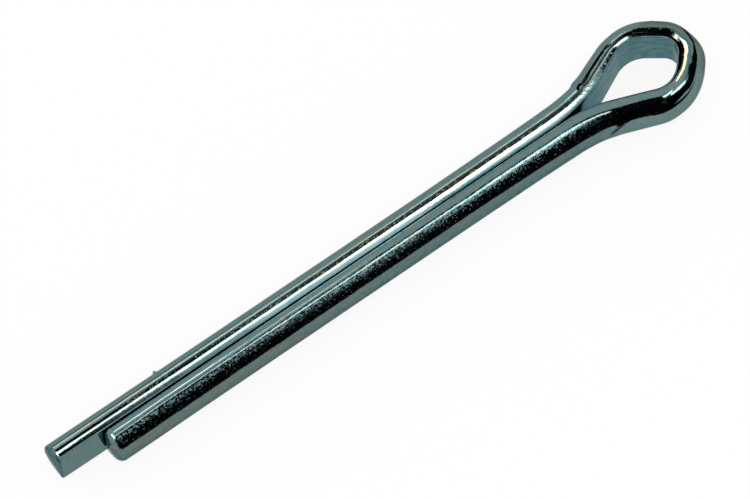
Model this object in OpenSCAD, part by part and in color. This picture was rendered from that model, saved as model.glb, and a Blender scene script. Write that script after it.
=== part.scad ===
// Split cotter pin: one half-round wire, folded flat against flat, with an eye at the fold.
// The shank lies along X with its tips toward -X, and the pin lies flat, with +Z up.
// The origin is on the shank's axis, where the long leg starts to bend into the eye.
// Side A of the eye carries on from the long leg, on +Y, and side B from the short leg, on -Y.

/* [Shank] */
// Diameter of the shank, across both legs
shank_d = 3.7; // [2.8:0.1:5]
// Width of the slit between the flats of the two legs
slit = 0.2; // [0.1:0.02:0.4]
// Bevel on the two long edges of the wire's flat
edge_bevel = 0.1; // [0.04:0.02:0.2]

/* [Legs] */
// Distance from the origin to the tip of the short leg
short_leg = 37.5; // [20:0.5:60]
// How far the long leg reaches past the short one
extension = 3.7; // [1:0.1:8]
// Radius of the rounded nose on the short leg
short_nose_r = 0.55; // [0.1:0.05:1]
// Radius of the eased edge on the end of the long leg
long_nose_r = 0.18; // [0.06:0.02:1]

/* [Eye, side A] */
// Inside height of the eye over the shank's middle plane
bow_a = 2.11; // [1.9:0.01:2.7]
// Radius of the hollow outside the neck
neck_r_a = 7.6; // [5:0.1:9.5]
// Angle of the neck's bend
neck_angle_a = 26.6; // [21:0.1:30]
// Inside radius of the shoulder
shoulder_r_a = 2.12; // [1:0.02:3]
// Angle of the shoulder's bend
shoulder_angle_a = 62.2; // [50:0.1:75]

/* [Eye, side B] */
// Inside height of the eye over the shank's middle plane
bow_b = 1.92; // [1.6:0.01:2.6]
// Radius of the hollow outside the neck
neck_r_b = 6.6; // [4:0.1:12]
// Angle of the neck's bend
neck_angle_b = 20.9; // [16:0.1:26]
// Inside radius of the shoulder
shoulder_r_b = 1.9; // [1:0.02:2.6]
// Angle of the shoulder's bend
shoulder_angle_b = 71.7; // [60:0.1:85]

/* [Eye, crown] */
// Inside radius of the bend at the far end of the eye
crown_r = 1.16; // [0.6:0.02:1.5]
// How far that bend's centre sits from the middle plane, toward side A
crown_y = 0.08; // [-0.2:0.02:0.3]

/* [Hidden] */
$fn = 96;

shank_r = shank_d / 2;
wire_h = shank_r - slit / 2; // from the wire's flat to the top of its round side
long_leg = short_leg + extension;
steel = "lightsteelblue";

// Radius of each neck, taken at the flat
neck_flat_r_a = neck_r_a + wire_h;
neck_flat_r_b = neck_r_b + wire_h;

// A bend turns by the angle nearest to the one asked for, within about 0.02 degree, whose sine and
// cosine are both whole millionths. Then the next stretch of wire starts with no step at the joint.
millionth = 1e-6;
search = 150; // how many cosines are tried on each side of the first one
function misfit(cosine) =
    let (sine = sqrt(1 - cosine * cosine) / millionth)
    abs(sine - round(sine));
function clean(angle) =
    let (
        middle = round(cos(angle) / millionth),
        cosines = [for (k = [-search:search]) (middle + k) * millionth],
        least = min([for (cosine = cosines) misfit(cosine)])
    )
    acos([for (cosine = cosines) if (misfit(cosine) == least) cosine][0]);

neck_turn_a = clean(neck_angle_a);
neck_turn_b = clean(neck_angle_b);
shoulder_turn_a = clean(shoulder_angle_a);
shoulder_turn_b = clean(shoulder_angle_b);

// How steeply each side falls from its shoulder to the crown, and the bend that joins them
slope_a = shoulder_turn_a - neck_turn_a;
slope_b = shoulder_turn_b - neck_turn_b;
crown_turn = clean(180 - slope_a - slope_b);

// Straight stretches of the eye, from the heights that they have to cover
function flank(bow, neck_r, shoulder_r, turn) =
    (bow - slit / 2 - (neck_r + shoulder_r) * (1 - cos(turn))) / sin(turn);
function side(drop, shoulder_r, slope) =
    (drop - shoulder_r * (1 - cos(slope)) - crown_r * cos(slope)) / sin(slope);
flank_a = flank(bow_a, neck_flat_r_a, shoulder_r_a, neck_turn_a);
flank_b = flank(bow_b, neck_flat_r_b, shoulder_r_b, neck_turn_b);
side_a = side(bow_a - crown_y, shoulder_r_a, slope_a);
side_b = side(bow_b + crown_y, shoulder_r_b, slope_b);

// Reach of each half of the eye along X, from its neck to the crown's centre
function reach(neck_r, turn, flank, shoulder_r, side, slope) =
    (neck_r + shoulder_r) * sin(turn) + flank * cos(turn)
    + (shoulder_r - crown_r) * sin(slope) + side * cos(slope);
reach_a = reach(neck_flat_r_a, neck_turn_a, flank_a, shoulder_r_a, side_a, slope_a);
reach_b = reach(neck_flat_r_b, neck_turn_b, flank_b, shoulder_r_b, side_b, slope_b);
neck_x_b = reach_a - reach_b; // where the short leg starts to bend into the eye

// The wire's course from the end of the long leg to the start of the short one.
// A bend is [radius of the flat, angle], to the left if positive, and a straight is [length, 0].
COURSE = [
    [neck_flat_r_a, neck_turn_a],
    [flank_a, 0],
    [shoulder_r_a, -shoulder_turn_a],
    [side_a, 0],
    [crown_r, -crown_turn],
    [side_b, 0],
    [shoulder_r_b, -shoulder_turn_b],
    [flank_b, 0],
    [neck_flat_r_b, neck_turn_b],
];

// Room for the wire: above its flat, and inside the bevels on the flat's edges
module wire_room() {
    flat_w = 2 * (shank_r - edge_bevel);
    top = 2 * shank_r;
    polygon([
        [-flat_w / 2, 0],
        [flat_w / 2, 0],
        [flat_w / 2 + top, top],
        [-flat_w / 2 - top, top],
    ]);
}

// Half-round section of the wire, with its flat on y = 0
module wire_section() {
    intersection() {
        translate([0, -slit / 2]) circle(shank_r);
        wire_room();
    }
}

// Everything past the plane x = 0, toward +X, as far as any bend reaches
module beyond() {
    size = 4 * (max(neck_flat_r_a, neck_flat_r_b, shoulder_r_a, shoulder_r_b) + shank_d);
    translate([0, -size / 2, -size / 2]) cube(size);
}

// A straight stretch along +X from the origin, with the flat on y = 0 and the round side to the left
module straight(length) {
    rotate([0, 90, 0]) linear_extrude(length) wire_section();
}

// A bend that starts at the origin toward +X. Its flat has the radius r.
module bend(r, angle) {
    turn = sign(angle);
    translate([0, turn * r, 0])
        intersection() {
            rotate_extrude() translate([r, 0]) rotate(turn * 90) wire_section();
            beyond();
            rotate([0, 0, angle]) mirror([1, 0, 0]) beyond();
        }
}

// Moves its children to the end of such a bend
module after_bend(r, angle) {
    turn = sign(angle);
    translate([0, turn * r, 0]) rotate([0, 0, angle]) translate([0, -turn * r, 0]) children();
}

// A straight leg from the origin along +X to its tip, rounded off by nose_r on the round side
module leg(length, nose_r) {
    translate([0, -slit / 2, 0])
        rotate([0, 90, 0])
            intersection() {
                rotate_extrude() {
                    square([shank_r, length - nose_r]);
                    square([shank_r - nose_r, length]);
                    translate([shank_r - nose_r, length - nose_r]) circle(nose_r);
                }
                translate([0, slit / 2, 0]) linear_extrude(length) wire_room();
            }
}

// The rest of the wire from one step of its course on, ending in the short leg
module wire_from(step) {
    if (step == len(COURSE)) {
        leg(short_leg + neck_x_b, short_nose_r);
    } else {
        size = COURSE[step][0];
        angle = COURSE[step][1];
        if (angle == 0) {
            straight(size);
            translate([size, 0, 0]) wire_from(step + 1);
        } else {
            bend(size, angle);
            after_bend(size, angle) wire_from(step + 1);
        }
    }
}

module cotter_pin() {
    color(steel)
        translate([0, slit / 2, 0]) {
            mirror([1, 0, 0]) leg(long_leg, long_nose_r);
            wire_from(0);
        }
}

cotter_pin();
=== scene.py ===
import math

import bpy
import numpy as np
from mathutils import Matrix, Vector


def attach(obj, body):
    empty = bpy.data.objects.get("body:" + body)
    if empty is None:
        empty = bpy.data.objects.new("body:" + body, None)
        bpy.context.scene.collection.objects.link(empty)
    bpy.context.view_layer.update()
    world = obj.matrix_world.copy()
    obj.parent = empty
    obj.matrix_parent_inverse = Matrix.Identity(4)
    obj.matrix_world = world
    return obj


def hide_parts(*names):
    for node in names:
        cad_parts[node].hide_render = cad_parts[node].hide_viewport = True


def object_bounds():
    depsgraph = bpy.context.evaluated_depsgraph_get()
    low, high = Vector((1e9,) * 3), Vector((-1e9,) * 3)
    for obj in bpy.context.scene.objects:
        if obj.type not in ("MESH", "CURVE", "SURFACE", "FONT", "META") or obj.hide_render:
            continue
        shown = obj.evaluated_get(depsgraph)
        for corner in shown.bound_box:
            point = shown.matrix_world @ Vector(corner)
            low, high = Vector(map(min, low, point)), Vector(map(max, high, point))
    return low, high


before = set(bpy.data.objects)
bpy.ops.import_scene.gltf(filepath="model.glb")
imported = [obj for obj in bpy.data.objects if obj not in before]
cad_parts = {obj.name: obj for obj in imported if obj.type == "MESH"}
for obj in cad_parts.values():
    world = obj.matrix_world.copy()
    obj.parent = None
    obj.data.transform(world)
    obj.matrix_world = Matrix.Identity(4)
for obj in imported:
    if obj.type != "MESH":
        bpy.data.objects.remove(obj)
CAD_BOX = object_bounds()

MM = 0.001

# ---------------------------------------------------------------- sizes of the wire

SHANK_R = 1.85 * MM  # both legs together make a round shank of this radius
NECK_X = -1.0 * MM  # where the long leg starts to bend
SLIT = 0.06 * MM  # between the two flats, where the legs lie closest
STRAIGHT = 11.0 * MM  # each leg runs straight for this far before its neck
LONG_TAIL = 29.3 * MM  # and then leans away from the other leg down to its tip
SHORT_TAIL = 27.0 * MM
TAIL_LEAN = 0.26  # how far it leans by the tip, in degrees

# One row a stretch of the eye, from the long leg's neck to the short leg's: a bend is (radius of
# the flat in mm, turn in degrees, left if positive) and a straight is (length in mm, 0). The one
# with no length is as long as brings the short leg's flat back to the slit.
EYE = (
    (15.0, 15.2),
    (6.37, 11.7),
    (1.89, 0),
    (2.12, -63.1),
    (1.21, 0),
    (1.10, -93.7),
    (None, 0),
    (1.89, -72.3),
    (3.16, 0),
    (8.31, 22.2),
)
# How far forming raised the top of the wire's round side over the drawn section, as pairs of (length
# run from the long tip, height), both in mm. The two sudden rises are at the ends of the dies.
RAISED = (
    (31.0, 0.0),
    (38.0, 0.06),
    (41.0, 0.11),
    (43.9, -0.03),
    (44.3, 0.10),
    (46.5, -0.05),
    (48.2, -0.20),
    (49.4, -0.07),
    (50.3, 0.02),
    (51.3, -0.05),
    (51.9, -0.17),
    (52.4, 0.0),
    (53.5, -0.01),
    (54.2, -0.13),
    (55.2, -0.21),
    (56.0, -0.13),
    (58.9, -0.06),
    (59.3, 0.0),
    (61.5, 0.09),
    (62.6, 0.07),
    (66.0, 0.02),
    (72.0, 0.01),
)

EDGE_R = 0.04 * MM  # rounding along the flat's two edges
LONG_NOSE = 0.24 * MM  # rounding of the long leg's cut end
SHORT_NOSE = 0.55 * MM  # rounding of the short leg's nose
END_EDGE = 0.08 * MM  # rounding where a flat meets an end
CROWNING = 0.08 * MM  # how far an end face stands out in its middle
END_SLANT = 0.17 * MM  # how much shorter the long leg is at its flat than at its back
SLANT_RUN = 8 * END_SLANT  # the length over which that slant dies away
SEAM_SHIFT = -0.064 * MM  # of the flats between the legs, toward the long leg, on the shank's axis
SEAM_TILT = -1.05  # degrees that they lean toward the long leg at the top
SEAM_DEPTH = 0.4 * SHANK_R  # the height over the flat at which shift and tilt have died away

STEP = 0.072 * MM  # between two rings of the wire
FINE = 8  # how many steps of the course go into one such step
FLAT_POINTS = 12
EDGE_POINTS = 5
ROUND_POINTS = 40
FACE_RINGS = 8
NOSE_RINGS = 9
FACE_START = 0.05  # size of an end face's innermost ring, as a share of the section
FACE_MIDDLE = 0.42  # how far over the flat that ring lies, as a share of the radius
SMOOTH_RINGS = 9  # over how many rings a change of height is spread


# ---------------------------------------------------------------- the wire

def length_of(size, turn):
    """Length of one stretch of the eye: radius times angle for a bend, or the size itself."""
    if size is None:
        return None
    return size * MM * (math.radians(abs(turn)) if turn else 1.0)


def course():
    """The line that the wire's flat follows, tip to tip, and the knots where its stretches meet.

    It comes as the length run, the place and the heading at each step. Curvature is constant on each
    stretch, so the heading is piecewise linear in the length run. The place is the running sum of
    step times (cosine, sine) of the heading halfway along the step.
    """
    rows = [(LONG_TAIL, TAIL_LEAN), (STRAIGHT, 0.0)]
    rows += [(length_of(size, turn), turn) for size, turn in EYE]
    rows += [(STRAIGHT, 0.0), (SHORT_TAIL, TAIL_LEAN)]
    turns = np.radians([turn for _, turn in rows])
    after = np.cumsum(turns) - turns[0]
    before = after - turns
    # The stretch with no length of its own takes up what is left between the two flats' heights
    free = [length for length, _ in rows].index(None)
    lengths = np.array([length or 0.0 for length, _ in rows])
    mean_sine = np.where(
        turns == 0, np.sin(before), (np.cos(before) - np.cos(after)) / np.where(turns == 0, 1, turns)
    )
    lengths[free] = -(SLIT + (lengths * mean_sine)[2:-2].sum()) / mean_sine[free]
    knots = np.concatenate([[0.0], np.cumsum(lengths)])
    run = np.linspace(0.0, knots[-1], FINE * int(knots[-1] / STEP))
    headings = np.concatenate([before[:1], after])
    h = np.interp((run[1:] + run[:-1]) / 2, knots, headings)
    move = np.stack([np.cos(h), np.sin(h)], 1) * np.diff(run)[:, None]
    place = np.concatenate([[[0.0, 0.0]], np.cumsum(move, 0)])
    neck = [np.interp(knots[2], run, place[:, k]) for k in (0, 1)]
    return run, place - neck + [NECK_X, SLIT / 2], np.interp(run, knots, headings), knots


def fans(low, high, count):
    """Rows of count even steps from low up to high, without high itself."""
    return low[:, None] + (high - low)[:, None] * np.linspace(0.0, 1.0, count, endpoint=False)


def sections(radius, rise, edge, slim):
    """Closed half-round outlines, one a ring, as (across, out) pairs.

    The round side is a circle about the shank's axis, half a slit behind the flat. The flat is a
    line, raised by rise at the ends. A rounding of radius edge touches both: its centre is edge
    above the flat and radius - edge from the axis. slim scales the height over the flat.
    """
    lift = rise + edge + SLIT / 2
    centre = np.sqrt((radius - edge) ** 2 - lift**2)
    start = np.arctan2(lift, centre)
    down = np.full_like(radius, -math.pi / 2)
    flat = fans(-centre, centre, FLAT_POINTS)
    right = fans(down, start, EDGE_POINTS)
    top = fans(start, math.pi - start, ROUND_POINTS)
    left = fans(math.pi - start, math.pi - down, EDGE_POINTS)
    r, e, c, f = (v[:, None] for v in (radius, edge, centre, rise))
    across = [flat, c + e * np.cos(right), r * np.cos(top), e * np.cos(left) - c]
    out = [f + 0 * flat, f + e + e * np.sin(right), r * np.sin(top) - SLIT / 2, f + e + e * np.sin(left)]
    return np.concatenate(across, 1), np.concatenate(out, 1) * slim[:, None]


def fallen(d, r):
    """How far a quarter-round end of radius r has fallen at distance d from the tip."""
    d = np.clip(d, 0.0, r)
    return r - np.sqrt(r * r - (r - d) ** 2)


def fade(x, low, high):
    """0 below low and 1 above high, and between them 3 t squared minus 2 t cubed."""
    t = np.clip((x - low) / (high - low), 0.0, 1.0)
    return t * t * (3 - 2 * t)


def between(x, a, b, c, d):
    """1 from b to c and 0 outside a to d, with a fade on either side."""
    return fade(x, a, b) - fade(x, c, d)


def bell(x, middle, width):
    """A smooth bump of height 1: e to the minus half the square of the distance in widths."""
    return np.exp(-0.5 * ((x - middle) / width) ** 2)


def wire():
    """The wire as rings of points, tip to tip, and each point's own place along, across and out of it.

    A ring is the section carried to a point of the course and turned to its heading. Near a tip the
    radius falls along a quarter circle, and the end face is the last ring shrunk toward a point.
    """
    run, place, heading, knots = course()
    total = run[-1]

    # Where each ring stands along the wire, closer together at the noses
    quarter = 1 - np.cos(np.radians(np.linspace(0, 90, NOSE_RINGS)))
    first, last = LONG_NOSE * quarter, SHORT_NOSE * quarter
    count = int((total - last[-1] - first[-1]) / STEP)
    body = np.linspace(first[-1], total - last[-1], count)[1:-1]
    s = np.concatenate(
        [np.zeros(FACE_RINGS), first[1:], body, total - last[:0:-1], np.full(FACE_RINGS, total)]
    )

    # Its outline, less what the noses and the flats' ends have lost, and shrunk on the end faces
    face = np.linspace(FACE_START, 1.0, FACE_RINGS)
    shrink = np.concatenate([face, np.ones(len(s) - 2 * FACE_RINGS), face[::-1]])
    radius = SHANK_R - fallen(s, LONG_NOSE) - fallen(total - s, SHORT_NOSE)
    rise = fallen(s, END_EDGE) + fallen(total - s, END_EDGE)
    edge = np.full_like(s, EDGE_R)
    window = np.hanning(SMOOTH_RINGS)
    raised = np.pad(np.interp(s / MM, *np.transpose(RAISED)), SMOOTH_RINGS // 2, "edge")
    raised = np.convolve(raised, window / window.sum(), "valid")
    slim = 1 + raised * MM / (SHANK_R - SLIT / 2)
    across, out = sections(radius, rise, edge, slim)
    pole = FACE_MIDDLE * radius[:, None]
    out = pole + (out - pole) * shrink[:, None]
    across = across * shrink[:, None]

    # The tilt of the slit between the legs, and the stand and slant of the end faces
    leg = fade(s, knots[4], knots[2]) - fade(s, knots[-5], knots[-3])
    seam = (SEAM_SHIFT + math.tan(math.radians(SEAM_TILT)) * across) * leg[:, None]
    plain = out
    out = out + seam * (1 - fade(out, 0.0, SEAM_DEPTH))
    stand = CROWNING * (1 - shrink**2) * np.where(s > total / 2, 1, -1)
    slant = (1 - out / SHANK_R) * (1 - fade(s, 0, SLANT_RUN))[:, None]
    push = stand[:, None] + END_SLANT * slant

    # Its place in the world
    h = np.interp(s, run, heading)[:, None]
    x = np.interp(s, run, place[:, 0])[:, None] + push * np.cos(h) - out * np.sin(h)
    y = np.interp(s, run, place[:, 1])[:, None] + push * np.sin(h) + out * np.cos(h)
    grid = np.stack([x, y, across], -1)
    own = np.stack([s[:, None] + push, across, plain], -1)
    return grid, own


def ripples(own, along, around, seed, count=60):
    """Unevenness of about unit size: a sum of cosine waves of about these lengths, in random directions."""
    draw = np.random.default_rng(seed)
    ways = draw.normal(size=(count, 3)) / [along, around, around]
    phases = draw.uniform(0, 2 * math.pi, count)
    total = np.zeros(own.shape[:2])
    for way, phase in zip(ways, phases):
        total += np.cos(2 * math.pi * (own @ way) + phase)
    return total * math.sqrt(2 / count)


def outward(grid):
    """Unit normals of the rings: the cross product of the steps along and round the wire."""
    round_step = np.roll(grid, -1, 1) - np.roll(grid, 1, 1)
    n = np.cross(np.gradient(grid, axis=0), round_step)
    return n / np.maximum(np.linalg.norm(n, axis=-1, keepdims=True), 1e-12)


def station(own):
    """Where each point lies on the wire: millimetres from the long tip, and degrees of lean.

    Lean is the angle whose tangent is out over across: 0 at the flat's upper edge, 90 at the back of
    the round side and 180 at the flat's lower edge.
    """
    return own[..., 0] / MM, np.degrees(np.arctan2(own[..., 2], own[..., 1]))


def crease(along, lean):
    """A short lap that runs aslant over the short leg's neck, 1 in its middle."""
    return bell(along - 0.05 * lean, 55.61, 0.15) * between(lean, 54, 60, 79, 83)


def pit(own):
    """A small pit in the long leg's end face, 1 in its middle."""
    far = np.hypot(own[..., 1] - 1.49 * MM, own[..., 2] - 0.15 * MM)
    return bell(far, 0, 0.09 * MM) * (own[..., 0] < 0.5 * MM)


def marks(own):
    """Height in metres over the plain section: slight unevenness, and the marks that forming left."""
    along, lean = station(own)
    height = 0.0005 * MM * ripples(own, 1.1 * MM, 1.3 * MM, seed=3)
    height += 0.0016 * MM * ripples(own, 6.0 * MM, 2.6 * MM, seed=4)
    # The lap on the short leg's neck
    height += 0.05 * MM * crease(along, lean)
    # A burr on the long leg's back
    height += 0.17 * MM * bell(along, 9.1, 0.08) * bell(lean, 72, 3.5)
    return height - 0.05 * MM * pit(own)


def look(own):
    """Four fields of the plating, each a sum of zones that fade in and out along and round the wire.

    Dull is the share of dull specks, tint a shift along the film's colours, the third field painted
    shade, how far the colour is darkened where shade falls and where the metal should mirror shade,
    and grain how coarse the skin is.
    """
    along, lean = station(own)
    out = own[..., 2] / MM
    reach = along[-1, 0]

    # Parts of the wire: along it, over the flat, on the round side of the eye, and the cut end
    long_leg, short_leg = 1 - fade(along, 40, 44), fade(along, 58, 62)
    crown = between(along, 50.9, 51.5, 54.2, 55.2)
    limb = between(along, 41.5, 43.5, 46.5, 48.5)
    top = between(along, 47, 48, 51, 52)
    flat = 1 - fade(out, 0.03, 0.12)
    arch = between(along, 49, 50, 53, 54) * fade(lean, 28, 36) * (1 - flat)
    end = 1 - fade(along - END_SLANT / MM * (1 - own[..., 2] / SHANK_R), 0.0, 0.2)

    # Painted shade in the slit between the legs, along the flat's edges
    seam = 1 - fade(out, 0.02, 0.05 + 0.05 * bell(along, 57, 2))
    seam = seam * (fade(along, 4.3, 14) - fade(along, 41.5, 44) + fade(along, 54.5, 56))
    seam = seam * (1 - fade(along, reach - 10, reach - 0.5))

    # Specks where a leg's or the eye's round side turns to face the rear or the front
    dull = fade(lean, 24.5, 26.5) - 0.4 * fade(lean, 28, 40) - 0.3 * fade(lean, 38, 60)
    dull = 0.10 + 0.70 * short_leg * dull
    dull += 0.45 * long_leg * between(lean, 14, 17, 22, 27) * fade(along, 2, 8)
    dull += 0.55 * top * between(lean, 16, 24, 38, 48) + 0.5 * limb * between(lean, 2, 6, 16, 22)

    # The film, thinner and bluer on the flat and the cut end, and straw-coloured in patches
    tint = -0.02 - 0.14 * flat * (fade(along, 3.5, 6) + 0.2 * crown + 0.6 * limb) - 0.16 * end
    tint += crown * (1 - flat) * (0.23 * between(lean, 5, 10, 18.5, 21.5) - 0.16 * bell(lean, 26.5, 3))
    yellow = bell(along, 25.6, 1.6) + fade(along, 30, 33)
    tint += long_leg * (0.14 * yellow * bell(lean, 16, 3) + 0.10 * bell(lean, 22, 4))
    tint -= 0.10 * short_leg * bell(lean, 32, 7)
    tint -= 0.04 * long_leg * bell(lean, 3, 6) * fade(along, 12, 18)
    tint += 0.07 * fade(along, 78, 88) * fade(lean, 40, 60) + 0.12 * arch

    # Painted shade, which darkens the colour: on the short leg's lower outer side, where it mirrors
    # the shaded floor by the pin; in the crease, the pit and the slit, where shade falls; as a painted
    # dark reflection beside the crown's highlight; on the cut ends; and over the eye's round top
    painted_shade = 0.2 * short_leg * fade(lean, 40, 60) + crease(along, lean) + 0.6 * pit(own)
    painted_shade += 0.3 * crown * bell(lean, 26, 2) + 0.2 * end + 0.9 * seam + 0.2 * arch

    grain = (0.3 + 0.6 * fade(along, 2, 9)) * (0.3 + 0.6 * fade(lean, 5, 14)) * fade(out, 0.05, 0.3)
    return {"dull": dull, "tint": tint, "painted_shade": painted_shade, "grain": grain}


def ring_mesh(name, grid, fields):
    """A closed mesh from rings: quads between neighbours, and a fan of triangles over each end.

    A fan's hub is the mean of its ring. Each field has a value for every point, kept in the mesh
    under the field's name.
    """
    n, m = grid.shape[:2]
    index = np.arange(n * m).reshape(n, m)
    a, b = index[:-1], index[1:]
    quads = np.stack([a, b, np.roll(b, -1, 1), np.roll(a, -1, 1)], -1).reshape(-1, 4)
    first = np.stack([index[0], np.roll(index[0], -1), np.full(m, n * m)], -1)
    last = np.stack([np.roll(index[-1], -1), index[-1], np.full(m, n * m + 1)], -1)
    points = np.concatenate([grid.reshape(-1, 3), grid[[0, -1]].mean(1)])
    mesh = bpy.data.meshes.new(name)
    mesh.from_pydata(points.tolist(), [], quads.tolist() + first.tolist() + last.tolist())
    for field, values in fields.items():
        values = values.reshape(n, m, -1)
        flat = np.concatenate([values.reshape(n * m, -1), values[[0, -1]].mean(1)]).astype(np.float32)
        kind, slot = ("FLOAT", "value") if values.shape[-1] == 1 else ("FLOAT_VECTOR", "vector")
        mesh.attributes.new(field, kind, "POINT").data.foreach_set(slot, flat.ravel())
    mesh.shade_smooth()
    mesh.update()
    piece = bpy.data.objects.new(name, mesh)
    bpy.context.scene.collection.objects.link(piece)
    return piece


grid, own = wire()
grid = grid + outward(grid) * marks(own)[..., None]
pin = ring_mesh("pin_wire", grid, {"wire_place": own / MM, **look(own)})


# ---------------------------------------------------------------- the plating

# The film's colour from where it is thin to where it is thick: blue, teal, grey, straw and brown
FILM = (
    (0.08, (0.040, 0.100, 0.190)),
    (0.25, (0.060, 0.155, 0.190)),
    (0.42, (0.125, 0.210, 0.215)),
    (0.53, (0.148, 0.215, 0.205)),
    (0.60, (0.168, 0.215, 0.180)),
    (0.68, (0.185, 0.208, 0.190)),
    (0.78, (0.250, 0.225, 0.100)),
    (0.92, (0.220, 0.110, 0.060)),
)
GRAZING = (0.54, 0.60, 0.60)  # the plating's colour where it is seen at a slant


class Shader:
    """Puts nodes and links into one material or world, from its inputs to its output."""

    def __init__(self, owner):
        owner.use_nodes = True
        self.tree = owner.node_tree

    def add(self, kind, inputs=(), **settings):
        """A new node, with its settings, and its inputs given as values or as other nodes' outputs."""
        node = self.tree.nodes.new("ShaderNode" + kind)
        for key, value in settings.items():
            setattr(node, key, value)
        for key, value in dict(inputs).items():
            self.put(node.inputs[key], value)
        return node

    def put(self, socket, value):
        """Links a socket to another node's output, or sets it to a plain value."""
        if isinstance(value, bpy.types.NodeSocket):
            self.tree.links.new(value, socket)
        else:
            socket.default_value = value

    def math(self, operation, *values, clamp=False):
        return self.add("Math", dict(enumerate(values)), operation=operation, use_clamp=clamp).outputs[0]

    def field(self, name):
        """A number that the mesh keeps for every point."""
        return self.add("Attribute", attribute_name=name).outputs["Fac"]

    def scaled(self, colour, share):
        """A colour times a number."""
        return self.add("VectorMath", {0: colour, "Scale": share}, operation="SCALE").outputs[0]

    def noise(self, vector, size, detail=2.0, rough=0.5):
        """Noise on the wire's own place, with one blob about size mm along, across and out."""
        mapped = self.add("Mapping", {"Vector": vector, "Scale": tuple(1 / v for v in size)})
        inputs = {"Vector": mapped.outputs[0], "Scale": 1.0, "Detail": detail, "Roughness": rough}
        return self.add("TexNoise", inputs).outputs["Fac"]

    def ramp(self, value, stops):
        """The colour at value, between stops of (value, colour)."""
        node = self.add("ValToRGB", {"Fac": value})
        band = node.color_ramp
        while len(band.elements) < len(stops):
            band.elements.new(0.5)
        for element, (at, colour) in zip(band.elements, stops):
            element.position = at
            element.color = (*colour, 1)
        return node.outputs["Color"]


def zinc_plating():
    """Bright zinc under a thin film, with blotches, dull specks, a fine grain and drawing lines."""
    zinc = bpy.data.materials.new("zinc_plating")
    s = Shader(zinc)
    bsdf = s.tree.nodes["Principled BSDF"]
    place = s.add("Attribute", attribute_name="wire_place").outputs["Vector"]

    # The film's colour, in blotches, less the painted shade
    film = s.noise(place, (0.9, 0.45, 0.45), detail=4.0, rough=0.65)
    drawn = s.noise(place, (6.0, 0.16, 0.16))
    film = s.math("MULTIPLY_ADD", film, 0.6, s.math("MULTIPLY_ADD", drawn, 0.12, 0.14))
    tint = s.ramp(s.math("ADD", film, s.field("tint")), FILM)
    blotches = s.noise(place, (0.35, 0.30, 0.30), detail=3.0, rough=0.6)
    blotches = s.math("MULTIPLY_ADD", blotches, 0.5, 0.75)
    # Painted shade darkens the base colour and the grazing colour alike
    kept = s.math("SUBTRACT", blotches, s.field("painted_shade"), clamp=True)
    s.put(bsdf.inputs["Base Color"], s.scaled(tint, kept))
    s.put(bsdf.inputs["Specular Tint"], s.scaled(GRAZING, kept))
    bsdf.inputs["Metallic"].default_value = 1.0

    # Dull specks, the more of them the lower the level that their noise has to pass
    specks = s.noise(place, (0.17, 0.15, 0.15), rough=0.6)
    level = s.math("MULTIPLY_ADD", s.field("dull"), -0.36, 0.72)
    dull = s.math("MULTIPLY", s.math("SUBTRACT", specks, level), 6.0, clamp=True)
    s.put(bsdf.inputs["Roughness"], s.math("MULTIPLY_ADD", dull, 0.45, 0.075))

    # The skin's grain, and lines along the wire from its drawing, some thousandths of a mm deep
    grain = s.math("MULTIPLY", s.noise(place, (0.18, 0.20, 0.20), rough=0.55), s.field("grain"))
    lines = s.noise(place, (4.0, 0.10, 0.10))
    fine = s.add("Bump", {"Height": grain, "Distance": 3.0e-6, "Strength": 1.0}).outputs[0]
    streaks = s.add("Bump", {"Height": lines, "Distance": 1.0e-6, "Strength": 1.0, "Normal": fine})
    s.put(bsdf.inputs["Normal"], streaks.outputs[0])
    return zinc


pin.data.materials.append(zinc_plating())
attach(pin, "root")
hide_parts("cotter_pin")

# ---------------------------------------------------------------- the studio
# The metal mirrors what stands round it, so lamps make its bright bands, and black cloths and cards
# its dark ones. Lamps and cloths are placed by how they look from the pin, in degrees from straight
# up: so many toward +X, the right, and so many toward +Y, the rear. Panels and cards hang level.

FLOOR_Z = CAD_BOX[0][2]
FLOOR_REACH = 20.0  # m, to each side
LAMP_FAR = 0.8  # m, from the pin
CLOTH_FAR = 3.0  # m, from the pin
LOW = FLOOR_Z / MM + 0.1  # how high a card on the floor lies over the shank's axis, in mm
WARM = (1.0, 0.88, 0.85)


def sky(right, rear):
    """Unit vector to a place in the sky, right and rear degrees away from straight up."""
    away = math.radians(max(math.hypot(right, rear), 1e-6))
    turn = math.atan2(rear, right)
    return np.array([math.sin(away) * math.cos(turn), math.sin(away) * math.sin(turn), math.cos(away)])


def placed(axes, spot):
    """The matrix that turns a thing to axes, its own x, y and z as columns, and puts it at spot."""
    matrix = np.eye(4)
    matrix[:3, :3], matrix[:3, 3] = axes, spot
    return Matrix(matrix.tolist())


def prop(name, points, faces, material):
    """A stage object from points and faces."""
    mesh = bpy.data.meshes.new(name)
    mesh.from_pydata([tuple(p) for p in points], [], faces)
    mesh.materials.append(material)
    made = bpy.data.objects.new(name, mesh)
    bpy.context.scene.collection.objects.link(made)
    return made


def soft_light(name, wide, tall, radiance, axes, spot):
    """A lamp wide by tall metres, whose power is radiance times pi times its area.

    It shows in the metal, and neither in the picture nor on the floor.
    """
    data = bpy.data.lights.new(name, "AREA")
    data.shape = "RECTANGLE"
    data.size, data.size_y = wide, tall
    data.energy = radiance * math.pi * wide * tall
    data.color = WARM
    made = bpy.data.objects.new(name, data)
    made.matrix_world = placed(axes, spot)
    made.visible_camera = False
    made.visible_diffuse = False
    bpy.context.scene.collection.objects.link(made)


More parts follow.
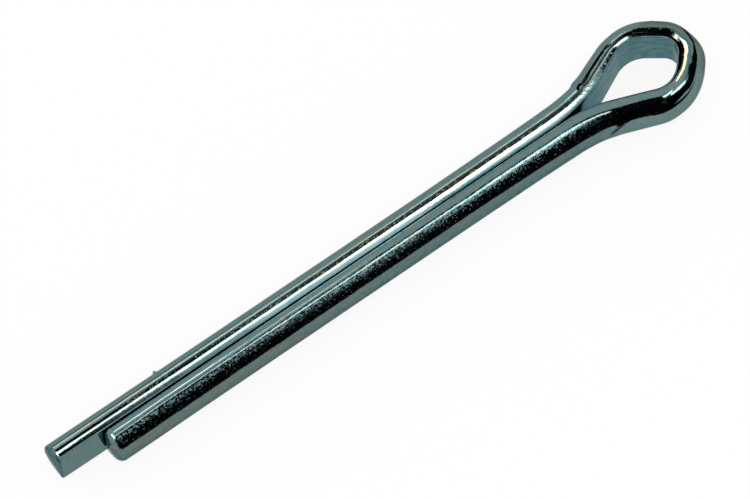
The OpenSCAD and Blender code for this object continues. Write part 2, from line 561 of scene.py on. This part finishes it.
def lamp(name, right, rear, wide, tall, radiance, turn=0.0):
    """A soft lamp facing the pin, wide degrees by tall, its width along X unless it is turned."""
    size = [2 * LAMP_FAR * math.tan(math.radians(v / 2)) for v in (wide, tall)]
    back = sky(right, rear)
    side = np.array([1.0, 0.0, 0.0]) - back[0] * back
    side /= np.linalg.norm(side)
    rise = np.cross(back, side)
    c, s = math.cos(math.radians(turn)), math.sin(math.radians(turn))
    axes = np.stack([c * side + s * rise, c * rise - s * side, back], 1)
    soft_light(name, *size, radiance, axes, LAMP_FAR * back)


def panel(name, x, rho, radiance, high=60):
    """A soft lamp that hangs level, from x[0] to x[1] mm and rho[0] to rho[1] degrees toward the rear."""
    y = [high * math.tan(math.radians(v)) for v in rho]
    spot = np.array([sum(x) / 2, sum(y) / 2, high]) * MM
    soft_light(name, (x[1] - x[0]) * MM, (y[1] - y[0]) * MM, radiance, np.eye(3), spot)


def black_sheet(name, points):
    """A flat black sheet, left to the metal alone: no part of the picture and no shade on the floor."""
    made = prop(name, points, [range(len(points))], black)
    made.visible_camera = False
    made.visible_diffuse = False
    made.visible_shadow = False


def cloth(name, *corners):
    """A black cloth across the sky between corners, each (right, rear)."""
    black_sheet(name, [CLOTH_FAR * sky(*corner) for corner in corners])


def card(name, high, *corners):
    """A black card that lies level, high mm over the shank's axis, between corners, each (x, y) mm."""
    black_sheet(name, [(x * MM, y * MM, high * MM) for x, y in corners])


def matt_black():
    """Black cloth that throws back next to nothing."""
    made = bpy.data.materials.new("black_cloth")
    made.use_nodes = True
    bsdf = made.node_tree.nodes["Principled BSDF"]
    bsdf.inputs["Base Color"].default_value = (0.004, 0.004, 0.005, 1)
    bsdf.inputs["Roughness"].default_value = 1.0
    bsdf.inputs["Specular IOR Level"].default_value = 0.0
    return made


def seen_rays(shader):
    """1 for the rays that see the stage, by eye, in metal or through glass, and 0 for the rest."""
    path = shader.add("LightPath").outputs
    seen = shader.math("MAXIMUM", path["Is Camera Ray"], path["Is Glossy Ray"])
    return shader.math("MAXIMUM", seen, path["Is Transmission Ray"])


def pale_floor():
    """White paint that takes shadows, which a white of its own keeps pale wherever it is seen."""
    made = bpy.data.materials.new("floor_paint")
    s = Shader(made)
    s.tree.nodes.clear()
    paint = s.add("BsdfDiffuse", {"Color": (0.97, 0.97, 0.97, 1)}).outputs[0]
    own_white = s.add("Emission", {"Color": (1, 1, 1, 1), "Strength": 1.0}).outputs[0]
    share = s.math("MULTIPLY", seen_rays(s), 0.9)
    mix = s.add("MixShader", {"Fac": share, 1: paint, 2: own_white})
    s.add("OutputMaterial", {"Surface": mix.outputs[0]})
    return made


def studio_world():
    """Plain white all round, at a strength of 1."""
    world = bpy.data.worlds.new("studio")
    bpy.context.scene.world = world
    s = Shader(world)
    s.tree.nodes.clear()
    white = s.add("Background", {"Color": (1, 1, 1, 1), "Strength": 1.0})
    s.add("OutputWorld", {"Surface": white.outputs[0]})


ways = ((-1, -1), (1, -1), (1, 1), (-1, 1))
corners = [(a * FLOOR_REACH, b * FLOOR_REACH, FLOOR_Z) for a, b in ways]
prop("floor", corners, [range(len(corners))], pale_floor())
studio_world()

# Toward the rear
lamp("softbox_rear", 11, 42.0, 12, 9, 6.0)
lamp("softbox_rear_left", -2, 48.5, 9, 4, 2.2)
panel("softbox_rear_end", (22, 60), (34, 46.5), 5.5, high=150)
panel("softbox_rear_end_skirt", (22, 60), (27, 34), 1.6, high=150)
panel("softbox_rear_skirt_a", (-26, -14), (15, 38), 0.2)
panel("softbox_rear_skirt_b", (-14, -5), (15, 38), 1.2)
panel("softbox_rear_skirt_c", (-5, 1), (15, 38), 1.5)
panel("softbox_rear_tip", (-100, -28), (38, 46.0), 6.0)
panel("strip_rear", (12, 110), (76.5, 80.3), 2.8)
panel("strip_rear_left", (12, 40), (78.5, 83), 5.5)
panel("strip_rear_glow", (-10, 30), (52, 72), 0.14)
panel("strip_rear_limb", (-26, -9.5), (64, 72), 1.2)

# To the right and the left
lamp("softbox_right", 51, 12, 14, 28, 7.0, turn=-22)
lamp("softbox_right_arm", 42.5, 29, 22, 4, 5.0, turn=38)
lamp("softbox_right_foot", 33, -3.5, 24, 8, 5.0, turn=15)
lamp("softbox_left_rear", -31, 38, 38, 13, 7.0)
lamp("softbox_left_front", -35, -22, 28, 18, 6.0)

# Toward the front
panel("strip_front_tip", (-100, -17), (-29.2, -25.7), 3.2)
panel("strip_front_a", (-17, -12.5), (-30.3, -26.8), 4.5)
panel("strip_front_b", (-12.5, -4), (-31.3, -27.6), 5.5)
panel("strip_front_c", (-4, 4), (-33, -28.2), 5.5)
panel("strip_front_d", (4, 9), (-35, -28.4), 6.0)
panel("strip_front_e", (9, 26), (-37.5, -27.8), 6.0)
lamp("strip_front_right", 29, -39.3, 27, 10, 6.0, turn=-4)
panel("strip_front_glow", (-18, -6), (-17, -12.5), 2.0)
panel("strip_front_glow_tip", (-40, -18), (-14, -9.5), 5.5)
panel("strip_front_skirt", (6, 36), (-46, -33), 0.12, high=150)
panel("strip_front_skirt_low", (-6, 8), (-60, -46), 0.08)

black = matt_black()
cloth("cloth_rear", (4, 48), (22, 48), (24, 71), (4, 68))
cloth("cloth_rear_left", (-9, 56), (4, 53), (4, 61), (-9, 64))
cloth("cloth_rear_low", (3, 61), (3, 83), (-4, 90), (-16, 93), (-16, 79), (-6, 73))
cloth(
    "cloth_right_rear",
    (18, 18), (12.5, 23), (26, 42), (23, 51), (16, 57), (16, 68),
    (34, 71), (50, 60), (59, 46), (49, 35), (34, 30),
)
cloth("cloth_right_middle", (11, 6), (15, 23), (45, 24), (50, 0))
cloth(
    "cloth_front_right",
    (33, -44), (50, -38), (50, -14), (72, -18), (90, -22), (84, -48), (66, -64), (40, -72),
)
cloth(
    "cloth_front",
    (-40, -22), (-8, -22), (10.5, -23), (22, -36), (33, -44), (40, -72),
    (14, -90), (-12, -90), (-60, -72),
)
cloth(
    "cloth_right_low",
    (54, -19), (64, -17), (69, -12), (74, -6.5), (78, 0), (82, 7), (90, 20), (94, 0), (88, -32),
)
# Painted shade: two low black cards by the eye's limbs, seen in the metal alone, that darken its
# reflections there as the pin's own shade would
card("shade_card_lower_limb", 6, (2.6, -3.1), (4.8, -3.4), (6.7, -4.2), (6.7, -8.0), (2.4, -6.0))
card("shade_card_limb", 20, (7.2, 9.5), (9.8, 9.5), (9.0, 19.5), (4.8, 19.5))
card("flag_tip", 150, (-90, 64), (-3, 64), (-3, 130), (-90, 130))
card("flag_neck", 148, (40, 70), (95, 70), (95, 180), (66, 180))
card("dark_table_rear", LOW, (-400, 38), (-12, 38), (-12, 400), (-400, 400))
card(
    "dark_table_front",
    LOW,
    (-400, -30), (-4, -30), (2, -14), (30, -14), (30, -60), (600, -3000), (-400, -3000),
)
# Painted shadow: a black card on the floor right of the crown, seen in the metal alone, that stands in for
# the pin's shadow there
card(
    "shadow_card_right",
    LOW,
    (13.6, 2.3), (17, 2.6), (22, 2.8), (38, 3.5), (73, 0), (300, -20),
    (300, 70), (57, 13.5), (28.5, 7.2), (20.5, 5.1), (15.5, 3.7), (13.6, 3.3),
)

# ---------------------------------------------------------------- the camera

CAMERA_FAR = 1.25  # m
SENSOR = 36.0  # width in mm
LENS = 891.5  # mm
TURNS = (-0.34902, 0.18611, 0.65728)  # of the camera, in radians about its own x, y and z
MIDDLE = (-12.586 * MM, -7.901 * MM)  # what it points at, in its own right and up from the origin


def camera_axes(rx, ry, rz):
    """Right, up and back of the camera as rows: a turn about y, then one about x, then one about z."""
    cx, sx, cy, sy, cz, sz = (f(v) for v in (rx, ry, rz) for f in (math.cos, math.sin))
    about_x = np.array([[1, 0, 0], [0, cx, -sx], [0, sx, cx]])
    about_y = np.array([[cy, 0, sy], [0, 1, 0], [-sy, 0, cy]])
    about_z = np.array([[cz, -sz, 0], [sz, cz, 0], [0, 0, 1]])
    return about_z @ about_x @ about_y


axes = camera_axes(*TURNS)
optics = bpy.data.cameras.new("camera")
optics.lens = LENS
optics.sensor_width = SENSOR
camera = bpy.data.objects.new("camera", optics)
camera.matrix_world = placed(axes.T, np.array([*MIDDLE, CAMERA_FAR]) @ axes)
bpy.context.scene.collection.objects.link(camera)
bpy.context.scene.camera = camera
bpy.context.scene.view_settings.view_transform = "Standard"
